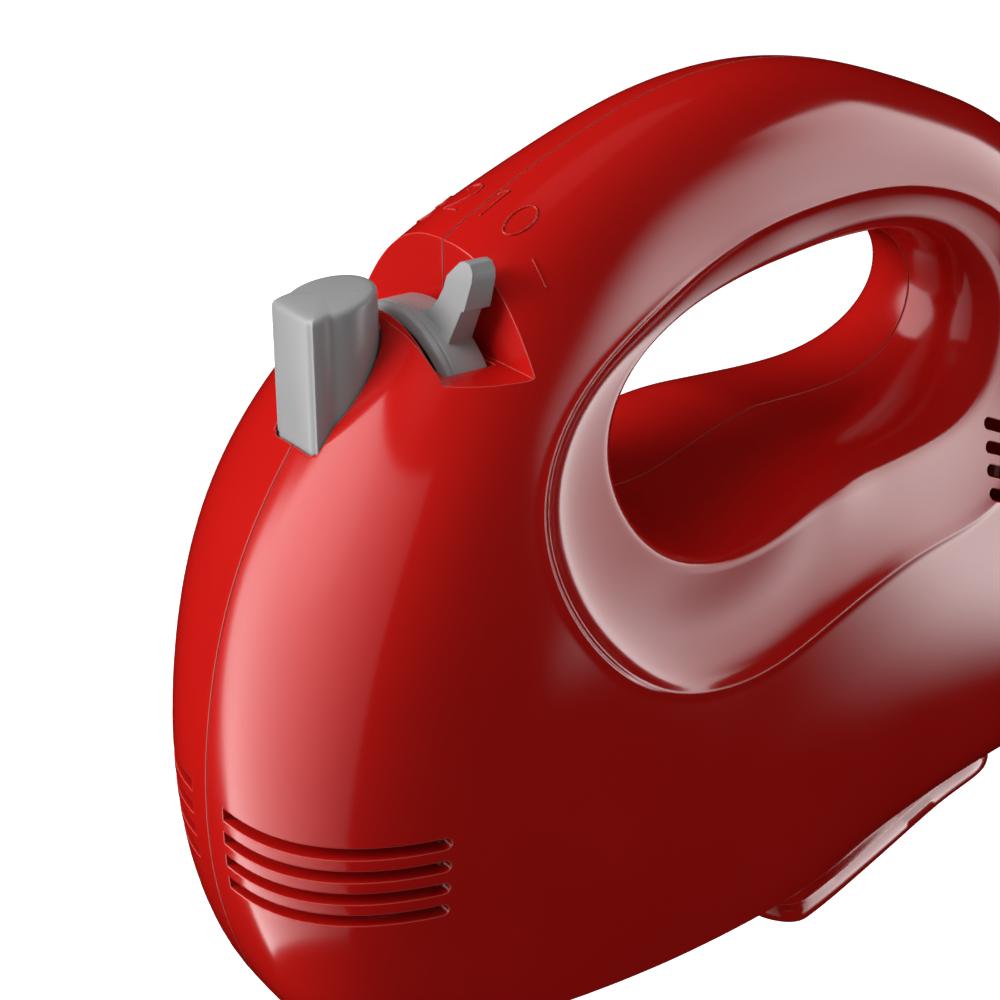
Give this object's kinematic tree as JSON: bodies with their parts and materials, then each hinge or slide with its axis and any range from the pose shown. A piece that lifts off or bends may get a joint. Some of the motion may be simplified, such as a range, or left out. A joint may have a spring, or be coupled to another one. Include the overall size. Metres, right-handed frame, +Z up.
{
  "type": "hand mixer",
  "caption": "Hand mixer with a looped handle, a slotted nose, a press-down eject button, a side-to-side speed lever and two wire beaters on geared spindles.",
  "frame": {"origin": "on the flat underside of the rear keel, on the centre plane, where the mixer sits on its stand", "axes": "+X towards the rear, -X towards the nose, +Y towards the user's right, +Z up"},
  "size_m": [0.2303, 0.0784, 0.2639],
  "materials": {
    "housing_red": "moulded gloss red",
    "control_grey": "moulded light grey, semi-gloss",
    "steel": "polished plated steel",
    "lamination": "stacked electrical steel",
    "copper_wire": "enamelled copper wire",
    "commutator_copper": "bare copper bars",
    "bronze": "sintered bronze and brass",
    "carbon": "pressed carbon",
    "gear_nylon": "natural nylon",
    "frame_black": "glass-filled black plastic",
    "fan_plastic": "moulded dark blue",
    "capacitor_yellow": "moulded yellow case",
    "cable_rubber": "soft black rubber"
  },
  "bodies": {
    "housing": {"housing_left": "housing_red", "housing_right": "housing_red", "base_cover": "housing_red", "lever_bracket": "frame_black", "lever_pin": "steel", "detent_spring": "steel", "speed_switch": "frame_black", "stator_core": "lamination", "field_coil_left": "copper_wire", "field_coil_right": "copper_wire", "gearbox_base": "frame_black", "gearbox_cover": "frame_black", "front_bearing": "bronze", "rear_bearing": "bronze", "rear_motor_bracket": "frame_black", "brush_holder_left": "bronze", "brush_holder_right": "bronze", "carbon_brush_left": "carbon", "carbon_brush_right": "carbon", "brush_spring_left": "steel", "brush_spring_right": "steel", "bush_lower_left": "bronze", "bush_upper_left": "bronze", "bush_lower_right": "bronze", "bush_upper_right": "bronze", "housing_screw_1": "steel", "housing_screw_2": "steel", "housing_screw_3": "steel", "housing_screw_4": "steel", "housing_screw_5": "steel", "base_screw_1": "steel", "base_screw_2": "steel", "base_screw_3": "steel", "base_screw_4": "steel", "suppressor_capacitor": "capacitor_yellow", "terminal_block": "gear_nylon", "cord_sleeve": "cable_rubber", "eject_spring": "steel"},
    "ejector": {"eject_button": "control_grey", "ejector_fork": "frame_black"},
    "speed_lever": {"speed_lever": "control_grey"},
    "rotor": {"worm_shaft": "steel", "armature_core": "lamination", "armature_winding": "copper_wire", "commutator": "commutator_copper", "cooling_fan": "fan_plastic"},
    "spindle_left": {"spindle_left": "steel", "worm_gear_left": "gear_nylon"},
    "spindle_right": {"spindle_right": "steel", "worm_gear_right": "gear_nylon"},
    "beater_left": {"beater_left": "steel"},
    "beater_right": {"beater_right": "steel"}
  },
  "joints": [
    {"name": "eject_press", "type": "slide", "parent": "housing", "child": "ejector", "axis": [0, 0, -1], "range_m": [0, 0.008], "stiffness_N_per_m": 300, "springref_m": -0.012, "deforming": ["eject_spring"]},
    {"name": "speed_select", "type": "hinge", "parent": "housing", "child": "speed_lever", "pos_m": [-0.10265, 0, 0.116], "axis": [1, 0, 0], "range_deg": [-36, 12]},
    {"name": "rotor_spin", "type": "hinge", "parent": "housing", "child": "rotor", "pos_m": [-0.062, 0, 0.046], "axis": [1, 0, 0], "continuous": true},
    {"name": "spindle_left_spin", "type": "hinge", "parent": "housing", "child": "spindle_left", "pos_m": [-0.112, -0.017, 0.046], "axis": [0, 0, 1], "continuous": true},
    {"name": "spindle_right_spin", "type": "hinge", "parent": "housing", "child": "spindle_right", "pos_m": [-0.112, 0.017, 0.046], "axis": [0, 0, 1], "continuous": true},
    {"name": "beater_left_release", "type": "slide", "parent": "spindle_left", "child": "beater_left", "axis": [0, 0, -1], "range_m": [0, 0.008]},
    {"name": "beater_right_release", "type": "slide", "parent": "spindle_right", "child": "beater_right", "axis": [0, 0, -1], "range_m": [0, 0.008]}
  ],
  "couplings": [
    {"joint": "spindle_right_spin", "follows": "rotor_spin", "ratio": -0.041667},
    {"joint": "spindle_left_spin", "follows": "rotor_spin", "ratio": 0.041667},
    {"joint": "beater_left_release", "follows": "eject_press", "ratio": 1},
    {"joint": "beater_right_release", "follows": "eject_press", "ratio": 1}
  ]
}
